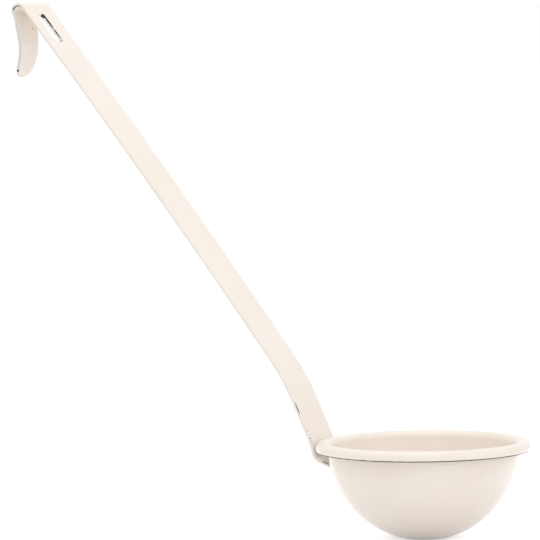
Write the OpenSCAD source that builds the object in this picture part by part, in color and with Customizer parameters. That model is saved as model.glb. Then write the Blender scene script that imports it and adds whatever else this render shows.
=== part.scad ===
// Enamelled steel soup ladle. A deep-drawn bowl with a rolled rim carries a bent strip
// handle, which is spot-welded to the wall under the rim and ends in a folded hook. Cream
// enamel covers all of it, and leaves dark sheet bare only along the rim's edge and in the slot.
// The origin is the middle of the flat under the bowl, +Z is up, and the handle leans to -X
// with its width along Y.

/* [Bowl] */
// Outside diameter of the round of the bowl, over the enamel
bowl_d = 89.4; // [84:0.2:96]
// Diameter of the flat that the bowl rests on
base_flat_d = 18; // [10:1:26]
// Outside radius of the bend between that flat and the round
base_bend_r = 8; // [5:0.5:12]

/* [Rim] */
// Outside radius of the rolled rim, over the enamel
rim_roll_r = 3.27; // [2.8:0.01:4]
// Angle below the bowl's widest level at which the wall starts to roll out
rim_start_angle = 2; // [0:0.5:6]
// Angle past the rim's widest point at which the rolled sheet ends
rim_end_angle = 25; // [10:1:50]
// Angle of the roll that the enamel leaves bare at that edge
rim_bare_angle = 4.5; // [2:0.5:8]

/* [Sheet and enamel] */
// Thickness of the bowl's sheet
sheet_t = 0.7; // [0.5:0.05:0.9]
// Thickness of the handle's strip
strip_t = 1.2; // [0.9:0.05:1.5]
// Thickness of the enamel on every face
enamel_t = 0.25; // [0.15:0.01:0.35]

/* [Handle] */
// Width of the handle's strip
strip_w = 22.5; // [18:0.5:26]
// Clear gap between the rim and the handle that passes it
rim_gap = 2.4; // [1.5:0.1:5]
// Slope of the foot, down towards the bowl
foot_slope = 22; // [16:1:30]
// Angle below the bowl's widest level at which the foot leaves the wall
foot_level = 14.3; // [12:0.1:20]
// Turn of the bend from the foot up past the rim
foot_turn = 54.4; // [45:0.2:60]
// Radius of that bend, at mid strip
foot_bend_r = 4.75; // [3.5:0.25:7]
// Radius of the easy bend beside the rim, at mid strip
rim_bend_r = 46; // [30:1:80]
// Turn of that bend
rim_bend_turn = 11.6; // [8:0.2:14]
// Straight length above the rim
rise_len = 17.8; // [10:0.2:30]
// Radius of the bend that lays the handle back, at mid strip
lean_bend_r = 102; // [60:1:140]
// Turn of that bend
lean_bend_turn = 12.35; // [6:0.05:16]
// Length of the long run up to the hook
run_len = 214; // [140:1:260]
// Radius of the slight bow of the long run
run_bow_r = 5300; // [3000:100:9000]

/* [Hook] */
// Radius of the fold, at mid strip
fold_r = 3.58; // [3:0.01:5]
// Turn of the fold from the long run to the tongue
fold_turn = 147.5; // [135:0.5:155]
// Straight length of the tongue
tongue_len = 12.65; // [8:0.05:18]
// Radius of the tongue's outward sweep, at mid strip
sweep_r = 27.3; // [20:0.1:40]
// Turn of that sweep
sweep_turn = 41; // [30:0.5:46]
// Angle to which each side of the tongue tapers
tongue_side_angle = 6; // [4:0.5:8]
// Radius of the tongue's round tip
tongue_tip_r = 6.75; // [5:0.05:7]
// Radius of the hollow shoulders that narrow the strip to the tongue
shoulder_r = 14; // [12:1:20]
// Distance from the top of the fold down to the shoulders
shoulder_drop = 2.6; // [1:0.1:4]

/* [Hang slot] */
// Width of the slot
slot_w = 6.3; // [4.5:0.1:8]
// Length of the slot, over its round ends
slot_len = 16.6; // [10:0.1:24]
// Distance from the start of the fold down to the middle of the slot
slot_from_fold = 14.2; // [12.5:0.1:20]
// Distance of the slot from the middle of the strip, towards -Y
slot_offset = 2.5; // [0:0.1:4]

/* [Welded tab] */
// Inside radius of the bend from the foot down onto the wall
tab_bend_r = 3; // [2:0.25:5]
// Length of the tab on the wall, below that bend
tab_len = 16; // [13:0.5:20]
// Radius of the tab's round lower end
tab_end_r = 13; // [12:0.5:18]
// Diameter of a weld nugget
weld_d = 4.5; // [3.5:0.1:5.5]
// Distance between the two weld nuggets, down the tab
weld_pitch = 7.5; // [6.5:0.1:8.5]
// Share of each sheet's thickness that a nugget goes into
weld_share = 0.6; // [0.4:0.05:0.8]

/* [Hidden] */
$fn = 96;

enamel_cream = "#f3e9de";
ground_dark = "#2b2a2c";
weld_grey = "#6f7276";
far = 400;
lap = 1;
// Distance that a chord of a bend may lie inside its arc
arc_error = 0.005;
// Angle to which the tab's form is turned to each side, before it is cut to width
tab_half_angle = 70;
// Depth that the tab's form goes under its round seat, and that the fold's inside is eased
seat_press = 0.02;
fold_relief = 0.02;
// Angle by which the tip's outline opens more than the tongue's sides, which cut it
tip_flare_angle = 4;

function along(heading) = [cos(heading), sin(heading)];
function across(heading) = [-sin(heading), cos(heading)];
function turn_of(length, radius) = length / radius * 180 / PI;
function reversed(points) = [for (i = [len(points) - 1 : -1 : 0]) points[i]];

// An arc as points, with chords that stay within arc_error of it
function arc_count(radius, turn) = ceil(abs(turn) / 2 / acos(1 - arc_error / radius));
function arc_points(centre, radius, from_angle, to_angle) =
    let (turn = to_angle - from_angle, count = arc_count(radius, turn))
    [for (k = [0 : count]) centre + radius * along(from_angle + turn * k / count)];

// The bowl's wall in layers, as depths below its outer enamel
wall_t = sheet_t + 2 * enamel_t;
sheet_outer = enamel_t;
sheet_inner = enamel_t + sheet_t;
bowl_r = bowl_d / 2;
base_bend_x = base_flat_d / 2;
bowl_z = base_bend_r + sqrt(pow(bowl_r - base_bend_r, 2) - pow(base_bend_x, 2));
base_bend_angle = atan2(base_bend_r - bowl_z, base_bend_x);
roll_reach = bowl_r - wall_t + rim_roll_r;
roll_centre = [roll_reach * cos(rim_start_angle), bowl_z - roll_reach * sin(rim_start_angle)];
enamel_end_angle = rim_end_angle - rim_bare_angle;

// The handle is drawn in the frame of its foot. The origin is the bowl's centre, X runs out
// along the foot, Y down across it, and the strip's width lies along Z. The tab turns with
// the bend above it about this frame's Y axis, and its seat on the bowl's steel is a sphere
bowl_centre = [0, bowl_z];
seat_r = bowl_r - enamel_t;
tab_mid_r = seat_r + strip_t / 2 - seat_press;
foot_heading = 180 - foot_slope;
foot_drop = tab_mid_r * sin(foot_level + foot_slope);
tab_bend_mid_r = tab_bend_r + strip_t / 2;
tab_bend_reach = tab_mid_r + tab_bend_mid_r;
tab_top_angle = asin((foot_drop + tab_bend_mid_r) / tab_bend_reach);
tab_bend_at = tab_bend_reach * along(tab_top_angle);
tab_turn = turn_of(tab_len, tab_mid_r);
tab_mid_angle = tab_top_angle + tab_turn / 2;
tab_stop_angle = tab_top_angle + tab_turn + turn_of(2 * lap, tab_mid_r);
weld_step_angle = turn_of(weld_pitch, seat_r);

// From upright axes to the frame of the foot and back
function in_foot(point) = [point * along(foot_heading), point * across(foot_heading)];
function upright(point) = point[0] * along(foot_heading) + point[1] * across(foot_heading);

// The foot is as long as it takes for the easy bend beside the rim to clear the rim
foot_start = [tab_bend_at[0], foot_drop];
rim_seen = in_foot([-roll_centre[0], roll_centre[1] - bowl_z]);
rim_bend_offset = foot_start + foot_bend_r * (across(-foot_turn) - across(0))
    + rim_bend_r * across(-foot_turn) - rim_seen;
rim_bend_reach = rim_bend_r + strip_t / 2 + enamel_t + rim_gap + rim_roll_r;
foot_len = sqrt(pow(rim_bend_reach, 2) - pow(rim_bend_offset[1], 2)) - rim_bend_offset[0];

// The strip's middle line from the foot to beyond the tip of the tongue. A step is a
// straight length, or a radius and its turn to the left
middle_line = [
    [foot_len, 0],
    [foot_bend_r, -foot_turn],
    [rim_bend_r, rim_bend_turn],
    [rise_len, 0],
    [lean_bend_r, lean_bend_turn],
    [run_bow_r, turn_of(run_len, run_bow_r)],
    [fold_r, fold_turn],
    [tongue_len, 0],
    [sweep_r, -sweep_turn],
    [lap, 0]
];
fold_index = 6;
tip_index = 9;

// A place is a point of the middle line and the heading there
function moved(place, step, share = 1) =
    step[1] == 0
        ? [place[0] + share * step[0] * along(place[1]), place[1]]
        : [place[0] + sign(step[1]) * step[0] * (across(place[1]) - across(place[1] + share * step[1])),
           place[1] + share * step[1]];
function step_start(i) = i == 0 ? [foot_start, 0] : moved(step_start(i - 1), middle_line[i - 1]);

// The line beside the middle line at a distance to its left
function side_points(distance) = [
    for (i = [0 : len(middle_line) - 1])
        let (step = middle_line[i], start = step_start(i),
             count = step[1] == 0 ? 1 : arc_count(step[0], step[1]))
        for (k = [min(i, 1) : count])
            let (place = moved(start, step, k / count)) place[0] + distance * across(place[1])
];

fold_start = step_start(fold_index);
fold_centre = fold_start[0] + fold_r * across(fold_start[1]);
fold_seen = upright(fold_centre);
tip_end = step_start(tip_index);

// The tongue's side, across its width and up from the middle of its round tip: a line that
// touches the tip, then a shoulder that touches this line and ends at the strip's edge
tip_level = upright(tip_end[0] - tongue_tip_r * along(tip_end[1]))[1];
shoulder_top = [strip_w / 2, fold_seen[1] + fold_r - shoulder_drop - tip_level];
side_out = [cos(tongue_side_angle), -sin(tongue_side_angle)];
side_up = [sin(tongue_side_angle), cos(tongue_side_angle)];
side_len = shoulder_top * side_up
    - sqrt(pow(shoulder_r, 2) - pow(shoulder_top * side_out - tongue_tip_r - shoulder_r, 2));

module ring(inner_r, outer_r) {
    difference() {
        circle(r = outer_r);
        circle(r = inner_r);
    }
}

// The halves of the plane above, below and right of the origin
module above() { translate([-far, 0]) square([2 * far, far]); }
module below() { translate([-far, -far]) square([2 * far, far]); }
module right() { translate([0, -far]) square([far, 2 * far]); }

// A ring's arc between two angles
module ring_arc(inner_r, outer_r, from_angle, to_angle) {
    intersection() {
        ring(inner_r, outer_r);
        polygon(concat([[0, 0]], arc_points([0, 0], 2 * outer_r, from_angle, to_angle)));
    }
}

// One layer of the bowl's wall, between two depths below the outer enamel
module wall_layer(outer_depth, inner_depth, end_angle) {
    rotate_extrude() intersection() {
        translate(bowl_centre) {
            intersection() {
                ring(bowl_r - inner_depth, bowl_r - outer_depth);
                rotate(base_bend_angle) above();
                rotate(-rim_start_angle) below();
            }
            rotate(base_bend_angle) translate([bowl_r - base_bend_r, 0]) {
                intersection() {
                    ring(base_bend_r - inner_depth, base_bend_r - outer_depth);
                    below();
                    rotate(-base_bend_angle) right();
                }
                rotate(-base_bend_angle) translate([-base_bend_x - lap, outer_depth - base_bend_r])
                    square([base_bend_x + lap, inner_depth - outer_depth]);
            }
            rotate(-rim_start_angle) translate([roll_reach, 0])
                ring_arc(rim_roll_r - wall_t + outer_depth, rim_roll_r - wall_t + inner_depth,
                         rim_start_angle - end_angle, 180);
        }
        right();
    }
}

module at_foot() {
    translate([0, 0, bowl_z]) rotate([90, 0, 0]) rotate([0, 0, foot_heading]) children();
}

module at_place(place) {
    translate(place[0]) rotate([0, 0, place[1]]) children();
}

// The strip from the foot to beyond the tip, in its full width
module strip_form(coat) {
    half_t = strip_t / 2 + coat;
    linear_extrude(strip_w + 2 * coat, center = true)
        polygon(concat(side_points(half_t), reversed(side_points(-half_t))));
}

// The tab's profile with the bend above it and the start of the foot. It goes deeper than
// the seat, which is cut later
function tab_profile(half_t, foot_stop) = concat(
    [[foot_stop, foot_drop + half_t]],
    arc_points(tab_bend_at, tab_bend_mid_r - half_t, 270, 180 + tab_top_angle),
    arc_points([0, 0], tab_mid_r + half_t, tab_top_angle, tab_stop_angle),
    [(seat_r - lap) * along(tab_stop_angle), (seat_r - lap) * along(tab_top_angle)],
    arc_points(tab_bend_at, tab_bend_mid_r + half_t, 180 + tab_top_angle, 270),
    [[foot_stop, foot_drop - half_t]]
);

// The tab from its round lower end up to just past the start of the foot
module tab_form(coat) {
    half_w = strip_w / 2 + coat;
    end_x = tab_mid_r * sin(tab_turn / 2) - tab_end_r;
    stop_x = foot_start[0] + min(lap, foot_len / 2);
    difference() {
        intersection() {
            rotate([-90, 0, 0]) rotate_extrude(angle = 2 * tab_half_angle, start = -tab_half_angle)
                polygon(tab_profile(strip_t / 2 + coat, foot_start[0] + half_w));
            translate([0, -far, -half_w]) cube([stop_x, 2 * far, 2 * half_w]);
        }
        rotate([0, 0, tab_mid_angle]) rotate([90, 0, 90]) linear_extrude(far)
            translate([end_x, 0]) difference() {
                right();
                circle(r = tab_end_r + coat);
            }
    }
}

// What the tongue lacks beside one of its sides, width along X and height along Y
module beside_tongue(coat) {
    edge_x = tongue_tip_r + coat;
    arc_r = shoulder_r - coat;
    translate([0, tip_level]) rotate(-tongue_side_angle)
        polygon(concat([[edge_x + far, -far], [edge_x, -far]],
                       arc_points([edge_x + arc_r, side_len], arc_r, 180, 90),
                       [[edge_x + far, side_len + arc_r]]));
}

// What the tongue lacks round its tip, length along X and width along Y
module beyond_tip(coat) {
    tip_r = tongue_tip_r + coat;
    flare = tongue_side_angle + tip_flare_angle;
    back = 3 * tongue_tip_r * along(180 - flare);
    tip_arc = arc_points([-tongue_tip_r, 0], tip_r, flare - 90, 90 - flare);
    difference() {
        translate([-2 * tongue_tip_r, -strip_w]) square(2 * strip_w);
        polygon(concat(tip_arc, [tip_arc[len(tip_arc) - 1] + back, tip_arc[0] + [back[0], -back[1]]]));
    }
}

module hang_slot() {
    at_foot() at_place(fold_start) translate([-slot_from_fold, 0, slot_offset]) rotate([90, 0, 0])
        linear_extrude(4 * strip_t, center = true) {
            square([slot_len - slot_w, slot_w], center = true);
            for (side = [-1, 1]) translate([side * (slot_len - slot_w) / 2, 0]) circle(r = slot_w / 2);
        }
}

// The whole handle before the slot is punched, with a coat all round
module handle_form(coat) {
    at_foot() difference() {
        union() {
            tab_form(coat);
            strip_form(coat);
        }
        translate(fold_centre)
            cylinder(h = 2 * strip_w, r = fold_r - strip_t / 2 - coat + fold_relief, center = true);
        for (side = [0, 1])
            mirror([0, 0, side]) rotate([0, 0, -foot_heading]) translate([fold_seen[0], 0, 0])
                rotate([0, -90, 0]) linear_extrude(far) beside_tongue(coat);
        at_place(tip_end) rotate([90, 0, 0]) linear_extrude(2 * tongue_tip_r, center = true)
            beyond_tip(coat);
    }
}

// The round of the bowl's steel, which the tab lies on
module seat() { translate([0, 0, bowl_z]) sphere(r = seat_r); }

module bowl_shell() {
    color(ground_dark) difference() {
        wall_layer(sheet_outer, sheet_inner, rim_end_angle);
        spot_welds();
    }
}

module handle_strip() {
    color(ground_dark) difference() {
        handle_form(0);
        hang_slot();
        seat();
        spot_welds();
    }
}

module spot_welds() {
    color(weld_grey) at_foot()
        for (side = [-0.5, 0.5])
            rotate([0, 0, tab_mid_angle + side * weld_step_angle]) rotate([0, 90, 0])
                translate([0, 0, seat_r - weld_share * sheet_t])
                    cylinder(h = weld_share * (sheet_t + strip_t), d = weld_d);
}

module bowl_inner_enamel() {
    color(enamel_cream) wall_layer(sheet_inner, wall_t, enamel_end_angle);
}

module bowl_outer_enamel() {
    color(enamel_cream) difference() {
        wall_layer(0, sheet_outer, enamel_end_angle);
        handle_form(enamel_t);
    }
}

module handle_enamel() {
    color(enamel_cream) difference() {
        handle_form(enamel_t);
        handle_form(0);
        hang_slot();
        seat();
    }
}

bowl_shell();
handle_strip();
spot_welds();
bowl_inner_enamel();
bowl_outer_enamel();
handle_enamel();
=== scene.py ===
# Enamelled soup ladle: finishes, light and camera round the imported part
import math

import bmesh
import bpy
from mathutils import Matrix, Vector, noise


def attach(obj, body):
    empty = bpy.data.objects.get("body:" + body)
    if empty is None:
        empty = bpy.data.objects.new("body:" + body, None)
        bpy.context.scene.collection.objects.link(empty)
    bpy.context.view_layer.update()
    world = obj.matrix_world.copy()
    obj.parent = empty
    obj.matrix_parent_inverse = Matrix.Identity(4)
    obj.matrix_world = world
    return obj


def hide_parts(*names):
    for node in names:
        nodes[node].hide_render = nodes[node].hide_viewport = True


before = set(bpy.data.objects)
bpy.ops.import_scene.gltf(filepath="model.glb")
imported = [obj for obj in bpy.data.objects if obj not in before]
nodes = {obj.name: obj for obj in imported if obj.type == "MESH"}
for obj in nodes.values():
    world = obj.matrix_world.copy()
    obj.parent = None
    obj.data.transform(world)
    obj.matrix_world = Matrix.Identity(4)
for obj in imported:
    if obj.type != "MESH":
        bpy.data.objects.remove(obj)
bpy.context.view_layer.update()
scene = bpy.context.scene
mm = 0.001
print("frame loaded:", ", ".join(sorted(nodes)))


def along(degrees):
    return Vector((math.cos(math.radians(degrees)), math.sin(math.radians(degrees))))


def across(degrees):
    return Vector((-math.sin(math.radians(degrees)), math.cos(math.radians(degrees))))


def smoothStep(share):
    share = min(max(share, 0), 1)
    return share * share * (3 - 2 * share)


class NodeTree:
    # a short way to add the nodes of a material or the sky and to link their sockets
    def __init__(self, owner):
        self.owner = owner
        owner.use_nodes = True
        self.tree = owner.node_tree
        self.tree.nodes.clear()

    def add(self, kind, inputs=None, **settings):
        node = self.tree.nodes.new("ShaderNode" + kind)
        for key, value in settings.items():
            setattr(node, key, value)
        for key, value in (inputs or {}).items():
            if isinstance(value, bpy.types.NodeSocket):
                self.tree.links.new(value, node.inputs[key])
            else:
                node.inputs[key].default_value = value
        return node

    def maths(self, operation, first, second=0.5, clamp=False):
        return self.add("Math", {0: first, 1: second}, operation=operation, use_clamp=clamp).outputs[0]

    def band(self, value, low, high, lowTo=0.0, highTo=1.0):
        inputs = {"Value": value, "From Min": low, "From Max": high, "To Min": lowTo, "To Max": highTo}
        return self.add("MapRange", inputs, interpolation_type="SMOOTHSTEP").outputs["Result"]

    def noise(self, vector, scale, detail=2.0, roughness=0.5):
        inputs = {"Vector": vector, "Scale": scale, "Detail": detail, "Roughness": roughness}
        return self.add("TexNoise", inputs).outputs["Fac"]

    def mix(self, share, first, second):
        node = self.add("Mix", {0: share}, data_type="RGBA")
        for socket, value in ((node.inputs[6], first), (node.inputs[7], second)):
            if isinstance(value, bpy.types.NodeSocket):
                self.tree.links.new(value, socket)
            else:
                socket.default_value = value
        return node.outputs[2]

    def seenRay(self):
        # 1 where the camera, a reflection or glass looks at the background, 0 where it only gives light
        path = self.add("LightPath").outputs
        seen = self.maths("ADD", path["Is Camera Ray"], path["Is Glossy Ray"], clamp=True)
        return self.maths("ADD", seen, path["Is Transmission Ray"], clamp=True)

    def finish(self, shader, output="OutputMaterial"):
        self.add(output, {"Surface": shader.outputs[0]})
        return self.owner


def newFinish(name):
    return NodeTree(bpy.data.materials.new(name))


enamelFinish = {
    "cream": (0.9, 0.83, 0.755, 1),
    "warm": (0.885, 0.8, 0.715, 1),
    # painted shade for the strip's edges turned from the light, a cold grey-blue
    "edgeShade": (0.56, 0.62, 0.64, 1),
    "ground": (0.014, 0.016, 0.022, 1),
    "mottleScale": 45,
    "gloss": (0.13, 0.2),
    "peelScale": 260,
    "peelDepth": 0.02 * mm,
    "peelStrength": 0.5,
    "speckScale": 700,
    "speckStrength": 0.35,
    "chipRoughness": 0.35,
    "chipDepth": 4,  # in steps of the orange peel
}


def creamEnamel(name, chips=(), rim=None):
    # fired glass over steel: faint mottle, orange peel, pinholes, the dark ground where it has chipped, and on
    # the handle a painted grey-blue shade along the strip's edges
    tree = newFinish(name)
    place = tree.add("TexCoord").outputs["Object"]
    mottle = tree.noise(place, enamelFinish["mottleScale"], 3)
    colour = tree.mix(tree.band(mottle, 0.35, 0.7), enamelFinish["cream"], enamelFinish["warm"])
    specks = tree.add("TexVoronoi", {"Vector": place, "Scale": enamelFinish["speckScale"]})
    rare = tree.noise(place, enamelFinish["speckScale"] * 0.31, 0)  # lets only a few of the specks show
    speckMask = tree.maths("MULTIPLY", tree.band(specks.outputs["Distance"], 0.2, 0.1),
                           tree.band(rare, 0.73, 0.76))
    speckMask = tree.maths("MULTIPLY", speckMask, enamelFinish["speckStrength"])
    colour = tree.mix(speckMask, colour, enamelFinish["ground"])
    height = tree.noise(place, enamelFinish["peelScale"], 1)
    bare = rimMask(tree, place, rim) if rim else None
    if chips:
        blank = tree.add("Attribute", attribute_name="blankPlace").outputs["Vector"]
        # painted shade: greys the strip's edges that face away from the light
        colour = tree.mix(paintedEdgeShade(tree, blank, place), colour, enamelFinish["edgeShade"])
    for chip in chips:
        mask = chipMask(tree, blank, chip)
        bare = mask if bare is None else tree.maths("MAXIMUM", bare, mask)
    rough = tree.band(mottle, 0.3, 0.7, *enamelFinish["gloss"])
    if bare is not None:
        colour = tree.mix(bare, colour, enamelFinish["ground"])
        rough = tree.maths("ADD", rough, tree.maths("MULTIPLY", bare, enamelFinish["chipRoughness"]))
        height = tree.maths("SUBTRACT", height, tree.maths("MULTIPLY", bare, enamelFinish["chipDepth"]))
    bump = tree.add("Bump", {"Strength": enamelFinish["peelStrength"], "Distance": enamelFinish["peelDepth"],
                             "Height": height})
    shader = tree.add("BsdfPrincipled", {"Base Color": colour, "Roughness": rough, "IOR": 1.5,
                                         "Normal": bump.outputs[0]})
    return tree.finish(shader)


def chipMask(tree, blank, chip):
    # an ellipsoid round the chip's middle on the flat blank, in millimetres, with a broken outline
    turned = tree.add("Mapping", {"Vector": blank, "Location": chip["at"],
                                  "Scale": [size / 2 for size in chip["size"]]}, vector_type="TEXTURE")
    reach = tree.add("VectorMath", {0: turned.outputs[0]}, operation="LENGTH").outputs["Value"]
    ragged = tree.noise(blank, chip["grain"], 3, 0.6)
    reach = tree.maths("ADD", reach, tree.maths("MULTIPLY", tree.maths("SUBTRACT", ragged, 0.5), chip["ragged"]))
    return tree.band(reach, 1.0, 0.8)


# painted shade on the strip's edges that turn from the light: places on the flat blank in millimetres, and how
# much of the grey-blue shade shows
edgeShadeBand = {
    "face": 0.849,  # just under the coated strip's half thickness
    "faceEnd": 0.7,
    "outerFrom": 0.15,
    "outerTo": 0.7,
    "tongueFrom": 276,
    "tongueTo": 290,
    "tongueShift": 0.7,  # on the tongue both corners take the painted shade, not only the outer one
    "innerShare": 0.06,
    "outerShare": 0.8,
    "patchScale": 70,
}


def paintedEdgeShade(tree, blank, place):
    # painted shade: a grey-blue band along the strip's corners, most of all the outer ones, which are turned
    # from the light
    parts = tree.add("SeparateXYZ", {0: blank}).outputs
    corner = tree.band(tree.maths("ABSOLUTE", parts["Z"]), edgeShadeBand["face"], edgeShadeBand["faceEnd"])
    shift = tree.band(parts["X"], edgeShadeBand["tongueFrom"], edgeShadeBand["tongueTo"], 0, edgeShadeBand["tongueShift"])
    share = tree.band(tree.maths("ADD", parts["Z"], shift), edgeShadeBand["outerFrom"], edgeShadeBand["outerTo"],
                      edgeShadeBand["innerShare"], edgeShadeBand["outerShare"])
    patch = tree.band(tree.noise(place, edgeShadeBand["patchScale"], 2), 0.3, 0.6, 0.5, 1)
    return tree.maths("MULTIPLY", corner, tree.maths("MULTIPLY", share, patch))


def rimMask(tree, place, rim):
    # the enamel thins out to the dark ground along the roll's edge, in an uneven line
    level = tree.add("SeparateXYZ", {0: place}).outputs["Z"]
    flat = tree.add("VectorMath", {0: place, 1: (1, 1, 0)}, operation="MULTIPLY").outputs[0]
    radius = tree.add("VectorMath", {0: flat}, operation="LENGTH").outputs["Value"]
    uneven = tree.noise(place, rim["grain"], 3, 0.65)
    level = tree.maths("ADD", level, tree.maths("MULTIPLY", tree.maths("SUBTRACT", uneven, 0.5), rim["spread"]))
    below = tree.band(level, rim["level"] + rim["fade"], rim["level"] - rim["fade"])
    outside = tree.band(radius, rim["radius"] - 0.1 * mm, rim["radius"] + 0.1 * mm)
    return tree.maths("MULTIPLY", below, outside)


groundFinish = {
    "dark": (0.022, 0.025, 0.034, 1),
    "rust": (0.085, 0.05, 0.035, 1),
    "patchScale": 160,
    "grainScale": 1400,
    "grainDepth": 0.03 * mm,
    "grainStrength": 0.4,
    "roughness": (0.38, 0.65),
}
weldFinish = {
    "bright": (0.4, 0.4, 0.41, 1),
    "dull": (0.26, 0.25, 0.25, 1),
    "grainScale": 900,
    "grainDepth": 0.02 * mm,
    "grainStrength": 0.3,
    "roughness": (0.35, 0.55),
}


def groundCoat(name):
    # thin dark ground coat on the steel, with rust starting in places
    tree = newFinish(name)
    place = tree.add("TexCoord").outputs["Object"]
    patch = tree.noise(place, groundFinish["patchScale"], 4)
    colour = tree.mix(tree.band(patch, 0.52, 0.72), groundFinish["dark"], groundFinish["rust"])
    rough = tree.band(patch, 0.4, 0.7, *groundFinish["roughness"])
    grain = tree.noise(place, groundFinish["grainScale"], 2)
    bump = tree.add("Bump", {"Strength": groundFinish["grainStrength"], "Distance": groundFinish["grainDepth"],
                             "Height": grain})
    shader = tree.add("BsdfPrincipled", {"Base Color": colour, "Roughness": rough, "Normal": bump.outputs[0]})
    return tree.finish(shader)


def weldSteel(name):
    tree = newFinish(name)
    place = tree.add("TexCoord").outputs["Object"]
    grain = tree.noise(place, weldFinish["grainScale"], 3)
    colour = tree.mix(tree.band(grain, 0.3, 0.7), weldFinish["bright"], weldFinish["dull"])
    rough = tree.band(grain, 0.3, 0.7, *weldFinish["roughness"])
    bump = tree.add("Bump", {"Strength": weldFinish["grainStrength"], "Distance": weldFinish["grainDepth"],
                             "Height": grain})
    shader = tree.add("BsdfPrincipled", {"Base Color": colour, "Metallic": 1.0, "Roughness": rough,
                                         "Normal": bump.outputs[0]})
    return tree.finish(shader)


def makePiece(name, bm, material, slotName, *replaced):
    mesh = bpy.data.meshes.new(name)
    bm.to_mesh(mesh)
    bm.free()
    for face in mesh.polygons:
        face.use_smooth = True
    mesh.materials.append(material)
    piece = bpy.data.objects.new(name, mesh)
    scene.collection.objects.link(piece)
    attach(piece, "root")
    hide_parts(*replaced)
    return piece


# sizes in millimetres and angles in degrees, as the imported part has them
bowl = {
    "diameter": 89.4,
    "flat": 18,
    "bendRadius": 8,
    "sheet": 0.7,
    "enamel": 0.25,
    "rollRadius": 3.27,
    "rollStart": 2,
    "rollEnd": 25,
    "bareAngle": 6,  # how far the enamel stops before the sheet's edge
    "bendSteps": 6,
    "roundSteps": 44,
    "rollSteps": 36,
    "edgeSteps": 6,
    "ringSteps": 192,
    "wave": 0.03,
    "waveLength": 30,
    "waveFrom": 6,  # the wall waves above this height
    "lipWander": 2.2,
    "lipReach": 20,  # the wandering fades over this angle of the roll
    "rimGrain": 420,
    "rimSpread": 0.5,
    "rimFade": 0.04,
}
bowlRadius = bowl["diameter"] / 2
wall = bowl["sheet"] + 2 * bowl["enamel"]
bowlHeight = bowl["bendRadius"] + math.sqrt((bowlRadius - bowl["bendRadius"]) ** 2 - (bowl["flat"] / 2) ** 2)
rollReach = bowlRadius - wall + bowl["rollRadius"]
rollCentre = Vector((0, bowlHeight)) + rollReach * along(-bowl["rollStart"])


def swing(bm, vert, centre, degrees, steps):
    # turns a point of the profile about a centre in the XZ plane and draws the arc
    turned = bmesh.ops.spin(bm, geom=[vert], cent=(centre[0] * mm, 0, centre[1] * mm), axis=(0, -1, 0),
                            angle=math.radians(degrees), steps=steps)
    return [item for item in turned["geom_last"] if isinstance(item, bmesh.types.BMVert)][0]


def drawTo(bm, vert, x, z):
    new = bmesh.ops.extrude_vert_indiv(bm, verts=[vert])["verts"][0]
    new.co = (x * mm, 0, z * mm)
    return new


def bowlLine(bm, depth, endAngle):
    # one skin of the wall, from the axis out along the base, up the round and over the roll
    baseAngle = math.degrees(math.atan2(bowl["bendRadius"] - bowlHeight, bowl["flat"] / 2))
    vert = bm.verts.new((0, 0, depth * mm))
    for share in (0.35, 0.7, 1):
        vert = drawTo(bm, vert, share * bowl["flat"] / 2, depth)
    vert = swing(bm, vert, (bowl["flat"] / 2, bowl["bendRadius"]), baseAngle + 90, bowl["bendSteps"])
    vert = swing(bm, vert, (0, bowlHeight), -bowl["rollStart"] - baseAngle, bowl["roundSteps"])
    return swing(bm, vert, rollCentre, bowl["rollStart"] - 180 - endAngle, bowl["rollSteps"])


def bowlLayer(outerDepth, innerDepth, endAngle):
    bm = bmesh.new()
    outer = bowlLine(bm, outerDepth, endAngle)
    inner = bowlLine(bm, innerDepth, endAngle)
    middle = (outer.co + inner.co) / 2 / mm
    swing(bm, outer, (middle.x, middle.z), 180, bowl["edgeSteps"])  # a rounded edge, as fired glass has
    bmesh.ops.remove_doubles(bm, verts=bm.verts, dist=0.002 * mm)
    bmesh.ops.spin(bm, geom=bm.verts[:] + bm.edges[:], cent=(0, 0, 0), axis=(0, 0, 1),
                   angle=math.tau, steps=bowl["ringSteps"], use_merge=True)
    bmesh.ops.remove_doubles(bm, verts=bm.verts, dist=0.002 * mm)
    for vert in bm.verts:
        settleBowl(vert, endAngle)
    bmesh.ops.recalc_face_normals(bm, faces=bm.faces)
    return bm


def settleBowl(vert, endAngle):
    # slow waves of a drawn sheet, the same in each layer, and a lip that wanders round the rim
    x, y, z = vert.co
    swell = noise.noise(Vector((x, y, z)) / (bowl["waveLength"] * mm)) * bowl["wave"] * mm
    radius = math.hypot(x, y)
    if z > bowl["waveFrom"] * mm:
        vert.co.x += x / radius * swell
        vert.co.y += y / radius * swell
    reach = Vector((radius / mm, z / mm)) - rollCentre
    angle = math.degrees(math.atan2(reach.y, reach.x))
    onRoll = reach.x > 0 and reach.length < bowl["rollRadius"] + wall
    fade = smoothStep((angle + endAngle + bowl["lipReach"]) / -bowl["lipReach"] + 1)
    lip = fade if onRoll else 0
    if lip > 0:
        heading = Vector((x, y, 0)).normalized()
        wander = bowl["lipWander"] * (noise.noise(heading * 9) + 0.6 * noise.noise(heading * 31))
        turned = rollCentre + reach.length * along(angle + lip * wander)
        vert.co = heading * turned.x * mm + Vector((0, 0, turned.y * mm))


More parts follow.
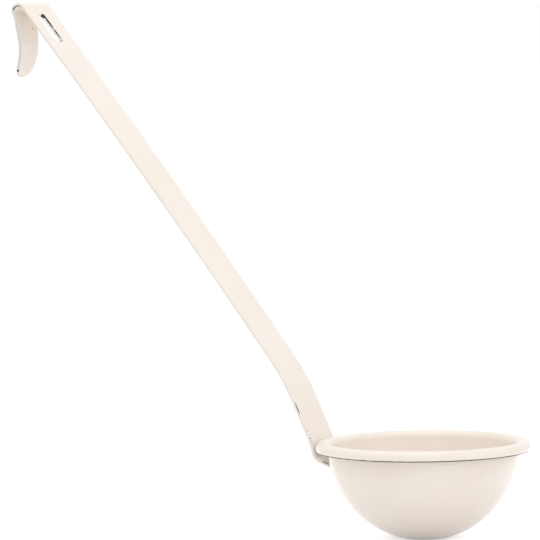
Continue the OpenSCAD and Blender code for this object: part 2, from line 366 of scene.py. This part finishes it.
def buildBowl():
    enamelEnd = bowl["rollEnd"] - bowl["bareAngle"]
    outside = makePiece("bowlEnamelOutside", bowlLayer(0, bowl["enamel"], enamelEnd),
                        creamEnamel("creamEnamelOutside"), "cream_enamel", "bowl_outer_enamel")
    edgeDrop = bowl["rollRadius"] * math.sin(math.radians(enamelEnd))
    rim = {"level": (rollCentre.y - edgeDrop + 0.1) * mm, "radius": (rollCentre.x + 2) * mm,
           "grain": bowl["rimGrain"], "spread": bowl["rimSpread"] * mm, "fade": bowl["rimFade"] * mm}
    inside = makePiece("bowlEnamelInside", bowlLayer(wall - bowl["enamel"], wall, enamelEnd),
                       creamEnamel("creamEnamelInside", rim=rim), "cream_enamel", "bowl_inner_enamel")
    steel = makePiece("bowlSteel", bowlLayer(bowl["enamel"], wall - bowl["enamel"], bowl["rollEnd"]),
                      groundCoat("groundCoatBowl"), "ground_coated_steel", "bowl_shell")
    print("bowl built:", outside.name, inside.name, steel.name)


# bends are given by the radius of the strip's middle line; they follow each other from the foot to the tongue
handle = {
    "width": 22.5,
    "strip": 1.2,
    "enamel": 0.25,
    "rimGap": 2.4,
    "seatPress": 0.02,
    "footSlope": 22,
    "footLevel": 14.3,  # degrees below the bowl's widest level where the foot leaves the wall
    "footTurn": 54.4,
    "footBend": 4.75,
    "rimBend": 46,
    "rimTurn": 11.6,
    "rise": 17.8,
    "leanBend": 102,
    "leanTurn": 12.35,
    "run": 214,
    "runBow": 5300,
    "fold": 3.58,
    "foldTurn": 147.5,
    "tongue": 12.65,
    "sweep": 27.3,
    "sweepTurn": 41,
    "taper": 6,
    "tipRadius": 6.75,
    "shoulder": 14,
    "shoulderDrop": 2.6,
    "slotWidth": 6.3,
    "slotLength": 16.6,
    "slotFromFold": 14.2,
    "slotOffset": 2.5,
    "tabBend": 3,  # this one is the inner radius
    "tabLength": 16,
    "tabEnd": 13,
    "edgeRound": 0.62,
    "edgeSegments": 5,
    "endSteps": 14,
    "tongueStep": 0.8,
    "tipSteps": 22,
    "tipStep": 4.2,
    "slotSteps": 48,
    "bendStep": 5,  # degrees between the lines across a bend
    "straightStep": 12,
    "tabBendSteps": 8,
    "tabSteps": 12,
    "lengthwise": (-0.9, -0.6, -0.3, 0, 0.3, 0.6, 0.9),  # lines along the strip, as shares of half its width
}
seat = bowlRadius - bowl["enamel"]
tabRadius = seat + handle["strip"] / 2 - handle["seatPress"]
tabBendRadius = handle["tabBend"] + handle["strip"] / 2
footHeading = 180 - handle["footSlope"]
footDrop = tabRadius * math.sin(math.radians(handle["footLevel"] + handle["footSlope"]))
tabTop = math.degrees(math.asin((footDrop + tabBendRadius) / (tabRadius + tabBendRadius)))
tabBendCentre = (tabRadius + tabBendRadius) * along(tabTop)
tabBendLength = tabBendRadius * math.radians(90 - tabTop)


def upright(point):
    # from the frame of the foot to upright axes at the bowl's centre
    return point[0] * along(footHeading) + point[1] * across(footHeading)


def handleSteps():
    # the foot is as long as it takes for the bend beside the rim to clear the rim
    rim = Vector((-rollCentre.x, rollCentre.y - bowlHeight))
    rimSeen = Vector((rim.dot(along(footHeading)), rim.dot(across(footHeading))))
    start = Vector((tabBendCentre.x, footDrop))
    offset = (start + handle["footBend"] * (across(-handle["footTurn"]) - across(0))
              + handle["rimBend"] * across(-handle["footTurn"]) - rimSeen)
    reach = (handle["rimBend"] + handle["strip"] / 2 + handle["enamel"] + handle["rimGap"]
             + bowl["rollRadius"])
    foot = math.sqrt(reach ** 2 - offset.y ** 2) - offset.x
    return [(foot, 0), (handle["footBend"], -handle["footTurn"]), (handle["rimBend"], handle["rimTurn"]),
            (handle["rise"], 0), (handle["leanBend"], handle["leanTurn"]),
            (handle["runBow"], math.degrees(handle["run"] / handle["runBow"])),
            (handle["fold"], handle["foldTurn"]), (handle["tongue"], 0),
            (handle["sweep"], -handle["sweepTurn"])]


steps = handleSteps()


def stepLength(step):
    return step[0] if step[1] == 0 else step[0] * math.radians(abs(step[1]))


def lengthTo(index):
    return sum(stepLength(step) for step in steps[:index])


handleLength = lengthTo(len(steps))
foldStart = lengthTo(6)
foldTop = foldStart + handle["fold"] * math.radians(
    180 - footHeading - sum(turn for size, turn in steps[:6]))


def placeAt(distance):
    # point and heading on the strip's middle line, in the frame of the foot; the tab lies below zero
    if distance < 0:
        angle = 270 - math.degrees(-distance / tabBendRadius)
        if -distance < tabBendLength:
            return tabBendCentre + tabBendRadius * along(angle), angle + 90
        angle = tabTop + math.degrees((-distance - tabBendLength) / tabRadius)
        return tabRadius * along(angle), angle - 90
    point, heading = Vector((tabBendCentre.x, footDrop)), 0
    for index, (size, turn) in enumerate(steps):
        length = stepLength((size, turn))
        share = distance / length if index == len(steps) - 1 or distance < length else 1
        if turn == 0:
            point = point + share * size * along(heading)
        else:
            side = math.copysign(size, turn)
            point = point + side * (across(heading) - across(heading + share * turn))
            heading += share * turn
        if share != 1:
            break
        distance -= length
    return point, heading


tipEnd, tipHeading = placeAt(handleLength)
tipCentre = tipEnd - handle["tipRadius"] * along(tipHeading)
tipLevel = upright(tipCentre).y
foldPoint, foldHeading = placeAt(foldStart)
foldLevel = upright(foldPoint + handle["fold"] * across(foldHeading)).y


def tongueSide(distance, coat):
    # half the tongue's width: a tapered line that a hollow shoulder leaves for the strip's edge
    point, heading = placeAt(distance)
    rise = upright(point).y - tipLevel
    taper = math.radians(handle["taper"])
    out, up = Vector((math.cos(taper), -math.sin(taper))), Vector((math.sin(taper), math.cos(taper)))
    top = Vector((handle["width"] / 2, foldLevel + handle["fold"] - handle["shoulderDrop"] - tipLevel))
    hollow = handle["shoulder"]
    sideLength = top.dot(up) - math.sqrt(hollow ** 2 - (top.dot(out) - handle["tipRadius"] - hollow) ** 2)
    centre = out * (handle["tipRadius"] + hollow) + up * sideLength
    half = (handle["tipRadius"] + coat) / math.cos(taper) + rise * math.tan(taper)
    if rise > centre.y - hollow * math.sin(taper):
        drop = (hollow - coat) ** 2 - (rise - centre.y) ** 2
        half = centre.x - math.sqrt(drop) if drop > 0 else handle["width"]
    ahead = (point - tipCentre).dot(along(tipHeading))
    tip = handle["tipRadius"] + coat
    if ahead > 0:
        half = min(half, math.sqrt(max(tip ** 2 - ahead ** 2, 0)))
    return min(half, handle["width"] / 2 + coat)


def blankOutline(coat):
    # half the blank before it is bent: lengths from the tab's round end to the tip, with half widths
    half = handle["width"] / 2 + coat
    end = -tabBendLength - handle["tabLength"] - coat
    tabEnd = handle["tabEnd"] + coat
    reach = math.degrees(math.asin(half / tabEnd))
    line = []
    for count in range(1, handle["endSteps"] + 1):
        corner = along(180 - reach * count / handle["endSteps"])
        line.append((end + tabEnd + tabEnd * corner.x, tabEnd * corner.y))
    distance = foldTop + handle["tongueStep"] / 2
    while distance < handleLength - handle["tipRadius"]:
        line.append((distance, tongueSide(distance, coat)))
        distance += handle["tongueStep"]
    tip = handle["tipRadius"] + coat
    for count in range(1, handle["tipSteps"]):
        angle = math.radians(handle["tipStep"] * count)
        line.append((handleLength - handle["tipRadius"] + tip * math.sin(angle), tip * math.cos(angle)))
    return line


def cutBlank(coat, edgeRadius):
    # the flat blank: a grid row takes the outline, a stretched circle is the punched slot
    line = blankOutline(coat)
    bm = bmesh.new()
    bmesh.ops.create_grid(bm, x_segments=len(line) - 1, y_segments=1, size=0.5)
    for vert in bm.verts:
        distance, half = line[int((vert.co.x + 0.5) * (len(line) - 1) + 0.5)]
        vert.co = (distance * mm, math.copysign(half, vert.co.y) * mm, 0)
    bmesh.ops.dissolve_edges(bm, edges=[edge for edge in bm.edges if len(edge.link_faces) == 2])
    bmesh.ops.delete(bm, geom=bm.faces[:], context="FACES_ONLY")
    slot = handle["slotWidth"] / 2 - coat + handle["enamel"]
    ring = bmesh.ops.create_circle(bm, segments=handle["slotSteps"], radius=slot * mm)["verts"]
    stretch = (handle["slotLength"] - handle["slotWidth"]) / 2
    middle = foldStart - handle["slotFromFold"]
    for vert in ring:
        side = math.copysign(stretch, vert.co.x) if abs(vert.co.x) > 0.001 * mm else stretch
        vert.co += Vector((middle + side, handle["slotOffset"], 0)) * mm
    bmesh.ops.triangle_fill(bm, use_beauty=True, use_dissolve=False, edges=bm.edges[:], normal=(0, 0, 1))
    thickness = handle["strip"] + 2 * coat
    grown = bmesh.ops.extrude_face_region(bm, geom=bm.faces[:])
    top = [item for item in grown["geom"] if isinstance(item, bmesh.types.BMVert)]
    bmesh.ops.translate(bm, vec=(0, 0, thickness * mm), verts=top)
    bmesh.ops.translate(bm, vec=(0, 0, -thickness / 2 * mm), verts=bm.verts)
    bmesh.ops.recalc_face_normals(bm, faces=bm.faces)
    rims = [edge for edge in bm.edges if edge.calc_face_angle(0) > 1.2]
    bmesh.ops.bevel(bm, geom=rims, offset=edgeRadius * mm, offset_type="OFFSET", segments=handle["edgeSegments"],
                    profile=0.5, affect="EDGES", material=-1, clamp_overlap=False)
    return bm


def scoreLine(bm, point, direction):
    bmesh.ops.bisect_plane(bm, geom=bm.verts[:] + bm.edges[:] + bm.faces[:], dist=0.02 * mm,
                           plane_co=point, plane_no=direction)


def scoreBlank(bm):
    # lines across the blank where it bends, and a few along it
    cuts = []
    for index, step in enumerate(steps):
        start, length = lengthTo(index), stepLength(step)
        count = max(1, math.ceil(abs(step[1]) / handle["bendStep"]), math.ceil(length / handle["straightStep"]))
        cuts += [start + length * k / count for k in range(count)]
    cuts += [-tabBendLength * k / handle["tabBendSteps"] for k in range(1, handle["tabBendSteps"] + 1)]
    cuts += [-tabBendLength - handle["tabLength"] * k / handle["tabSteps"] for k in range(1, handle["tabSteps"])]
    for cut in cuts:
        scoreLine(bm, (cut * mm, 0, 0), (1, 0, 0))
    for share in handle["lengthwise"]:
        scoreLine(bm, (0, share * handle["width"] / 2 * mm, 0), (0, 1, 0))
    # one order, so that each run merges the same points
    places = {vert: place for place, vert in enumerate(sorted(bm.verts, key=lambda vert: vert.co[:]))}
    bm.verts.sort(key=lambda vert: places[vert])
    bmesh.ops.remove_doubles(bm, verts=bm.verts[:], dist=0.01 * mm)
    bmesh.ops.dissolve_degenerate(bm, dist=0.01 * mm, edges=bm.edges)


def bendBlank(bm):
    blankPlace = bm.verts.layers.float_vector.new("blankPlace")
    for vert in bm.verts:
        vert[blankPlace] = vert.co / mm
        distance, side, rise = vert.co / mm
        point, heading = placeAt(distance)
        point = point + rise * across(heading)
        if distance < 0:
            point.x = math.sqrt(point.x ** 2 - side ** 2)  # the tab is dished to the bowl's round
        seen = upright(point)
        vert.co = (seen.x * mm, -side * mm, (seen.y + bowlHeight) * mm)


def formStrip(coat):
    bm = cutBlank(coat, handle["edgeRound"] + coat - handle["enamel"])
    scoreBlank(bm)
    bendBlank(bm)
    bmesh.ops.recalc_face_normals(bm, faces=bm.faces)
    return bm


# the fillet round the tab, in millimetres
seam = {
    "width": 0.75,
    "sunk": 0.3,
    "steps": 8,
    "topSteps": 12,
    "sideSteps": 8,
    "endSteps": 12,
    "uneven": 0.25,
    "unevenLength": 3,
}


def seamPath():
    # round the coated tab: across its top, down the near side, round the end and up the far side
    half = handle["width"] / 2 + handle["enamel"]
    tabEnd = handle["tabEnd"] + handle["enamel"]
    end = -tabBendLength - handle["tabLength"] - handle["enamel"]
    reach = math.asin(half / tabEnd)
    top, low = -tabBendLength, end + tabEnd - tabEnd * math.cos(reach)
    path = [(top, half * (2 * count / seam["topSteps"] - 1)) for count in range(seam["topSteps"])]
    path += [(top + (low - top) * count / seam["sideSteps"], half) for count in range(seam["sideSteps"])]
    for count in range(seam["endSteps"], -seam["endSteps"], -1):
        angle = reach * count / seam["endSteps"]
        path.append((end + tabEnd - tabEnd * math.cos(angle), tabEnd * math.sin(angle)))
    return path + [(low + (top - low) * count / seam["sideSteps"], -half) for count in range(seam["sideSteps"])]


def onBowl(distance, side):
    # the blank's point pressed on the coated bowl, measured from the bowl's centre
    flat = bowlRadius * along(tabTop + math.degrees((-distance - tabBendLength) / tabRadius))
    seen = upright((math.sqrt(flat.x ** 2 - side ** 2), flat.y))
    return Vector((seen.x, -side, seen.y))


def buildSeam():
    # enamel drawn into the corner round the tab when it was fired
    path = seamPath()
    spots = [onBowl(*place) for place in path]
    middle = sum(spots, Vector()) / len(spots)
    section = [(-seam["sunk"], seam["width"]), (-seam["sunk"], -seam["sunk"]), (seam["width"], -seam["sunk"])]
    for step in range(seam["steps"] + 1):
        corner = along(270 - 90 * step / seam["steps"])
        section.append((seam["width"] * (1 + corner.x), seam["width"] * (1 + corner.y)))
    rows, columns = len(path), len(section)
    bm = bmesh.new()
    bmesh.ops.create_grid(bm, x_segments=rows, y_segments=columns, size=0.5)
    for vert in bm.verts:
        row = round((vert.co.x + 0.5) * rows) % rows
        out, rise = section[round((vert.co.y + 0.5) * columns) % columns]
        spot = spots[row]
        course = spots[(row + 1) % rows] - spots[row - 1]
        normal = spot.normalized()
        aside = course.cross(normal).normalized()
        if aside.dot(spot - middle) < 0:
            aside = -aside
        size = 1 + seam["uneven"] * noise.noise(spot / seam["unevenLength"])
        vert.co = (spot + size * (out * aside + rise * normal) + Vector((0, 0, bowlHeight))) * mm
    bmesh.ops.remove_doubles(bm, verts=bm.verts, dist=0.001 * mm)
    bmesh.ops.recalc_face_normals(bm, faces=bm.faces)
    piece = makePiece("seamEnamel", bm, creamEnamel("creamEnamelSeam"), "cream_enamel")
    print("seam built:", piece.name, len(piece.data.polygons), "faces")


# places on the flat blank in millimetres: along it, across it toward the near edge, and through it
edgeChips = [
    {"at": (276.4, 11.35, 0.72), "size": (8.2, 0.8, 0.62), "grain": 1.6, "ragged": 0.7},
    {"at": (278.8, 11.3, 0.7), "size": (2.8, 1.1, 0.95), "grain": 1.8, "ragged": 0.6},
    {"at": (310, 6.1, 0.3), "size": (1.7, 1.4, 1.3), "grain": 2, "ragged": 0.6},
    {"at": (31.5, 11.25, -0.8), "size": (6.8, 0.62, 0.5), "grain": 1.4, "ragged": 0.8},
    {"at": (20, 11.1, -0.85), "size": (0.7, 0.6, 0.4), "grain": 2, "ragged": 0.5},
    {"at": (16.3, 11, -0.85), "size": (1.0, 0.6, 0.4), "grain": 2, "ragged": 0.5},
    {"at": (14.7, 11, -0.85), "size": (0.6, 0.5, 0.4), "grain": 2, "ragged": 0.5},
    {"at": (1.2, 11.4, -0.6), "size": (3.8, 0.5, 0.4), "grain": 1.5, "ragged": 0.7},
    {"at": (289.5, -4, 0.85), "size": (0.9, 0.5, 0.4), "grain": 2, "ragged": 0.6},
    {"at": (262, -0.68, -0.76), "size": (10, 1.0, 1.3), "grain": 1.1, "ragged": 1.0},
    {"at": (255, -0.66, -0.78), "size": (10, 0.74, 1.0), "grain": 1.2, "ragged": 1.1},
    {"at": (265.8, 0.4, -0.6), "size": (3.0, 3.6, 1.8), "grain": 1.3, "ragged": 1.0},
    {"at": (250, 1, -0.8), "size": (0.9, 3.4, 0.6), "grain": 1.6, "ragged": 0.8},
]


def buildHandle():
    coat = handle["enamel"]
    steel = makePiece("handleSteel", formStrip(0), groundCoat("groundCoatHandle"), "ground_coated_steel",
                      "handle_strip")
    hollow = formStrip(0)
    bmesh.ops.reverse_faces(hollow, faces=hollow.faces)
    coreFaces = bpy.data.meshes.new("coreFaces")
    hollow.to_mesh(coreFaces)
    hollow.free()
    skin = formStrip(coat)
    skin.from_mesh(coreFaces)  # the coat is hollow where the steel lies
    bpy.data.meshes.remove(coreFaces)
    enamel = makePiece("handleEnamel", skin, creamEnamel("creamEnamelHandle", edgeChips), "cream_enamel",
                       "handle_enamel")
    enamel.modifiers.new("evenNormals", "WEIGHTED_NORMAL")
    nodes["spot_welds"].data.materials.clear()
    nodes["spot_welds"].data.materials.append(weldSteel("weldSteel"))
    print("handle built:", steel.name, enamel.name, len(enamel.data.polygons), "faces")


# the lamps and the sky light at a plain level; lengths from here on are in metres
studio = {
    "white": (1, 1, 1, 1),
    "skyStrength": 0.84,
    "floorColour": (0.9, 0.9, 0.9, 1),
    "floorGlow": 0.55,
    "floorSize": 12,
    "panels": {
        "panelAbove": {"place": (-0.1, -0.2, 1.3), "aim": (-0.05, 0, 0.1), "size": (1.4, 1.4), "watts": 4.8},
        "panelRight": {"place": (1.1, -0.35, 0.4), "aim": (-0.03, 0, 0.04), "size": (0.9, 0.6), "watts": 1.1},
    },
}
# the photograph's camera
view = {
    "azimuth": 27,
    "elevation": 6.35,
    "roll": 0.7,
    "distance": 1.9,
    "target": Vector((0, 0, 0.0396)),
    "targetPixel": (423.3, 451.9),
    "focalPixels": 4085,
    "imageSize": 540,
    "sensorWidth": 36,
}


def buildSky():
    scene.world = bpy.data.worlds.new("studioSky")
    tree = NodeTree(scene.world)
    light = tree.add("Background", {"Color": studio["white"], "Strength": studio["skyStrength"]})
    seen = tree.add("Background", {"Color": studio["white"], "Strength": 1})
    mix = tree.add("MixShader", {0: tree.seenRay(), 1: light.outputs[0], 2: seen.outputs[0]})
    tree.finish(mix, "OutputWorld")


def buildFloor():
    bm = bmesh.new()
    bmesh.ops.create_grid(bm, x_segments=1, y_segments=1, size=studio["floorSize"])
    mesh = bpy.data.meshes.new("floor")
    bm.to_mesh(mesh)
    bm.free()
    floor = bpy.data.objects.new("floor", mesh)
    scene.collection.objects.link(floor)
    tree = newFinish("floorPaper")
    paper = tree.add("BsdfDiffuse", {"Color": studio["floorColour"]})
    strength = tree.maths("MULTIPLY", tree.seenRay(), studio["floorGlow"])
    glow = tree.add("Emission", {"Color": studio["white"], "Strength": strength})
    mesh.materials.append(tree.finish(tree.add("AddShader", {0: paper.outputs[0], 1: glow.outputs[0]})))


def addPanel(name, place, aim, size, watts):
    lamp = bpy.data.lights.new(name, "AREA")
    lamp.shape = "RECTANGLE"
    lamp.size, lamp.size_y = size
    lamp.energy = watts
    panel = bpy.data.objects.new(name, lamp)
    panel.location = place
    panel.rotation_euler = (Vector(aim) - Vector(place)).to_track_quat("-Z", "Y").to_euler()
    scene.collection.objects.link(panel)


def buildCamera():
    azimuth, elevation = math.radians(view["azimuth"]), math.radians(view["elevation"])
    back = Vector((math.sin(azimuth) * math.cos(elevation), -math.cos(azimuth) * math.cos(elevation),
                   math.sin(elevation)))
    right = Vector((math.cos(azimuth), math.sin(azimuth), 0))
    up = back.cross(right)
    frameAxes = Matrix((right, up, back)).transposed() @ Matrix.Rotation(math.radians(-view["roll"]), 3, "Z")
    centre = (view["imageSize"] - 1) / 2
    sideways = view["targetPixel"][0] - centre
    upwards = centre - view["targetPixel"][1]
    aim = Vector((sideways, upwards, -view["focalPixels"])).normalized()
    frameAxes = frameAxes @ Vector((0, 0, -1)).rotation_difference(aim).to_matrix().transposed()
    camera = bpy.data.objects.new("camera", bpy.data.cameras.new("camera"))
    camera.data.sensor_width = view["sensorWidth"]
    camera.data.lens = view["focalPixels"] / view["imageSize"] * view["sensorWidth"]
    camera.data.clip_start = 0.05
    camera.data.clip_end = 100
    camera.matrix_world = Matrix.Translation(view["target"] + view["distance"] * back) @ frameAxes.to_4x4()
    scene.collection.objects.link(camera)
    scene.camera = camera


scene.view_settings.view_transform = "Standard"
buildCamera()
buildSky()
buildFloor()
for panelName, panel in studio["panels"].items():
    addPanel(panelName, **panel)
print("studio ready")
buildBowl()
buildHandle()
buildSeam()
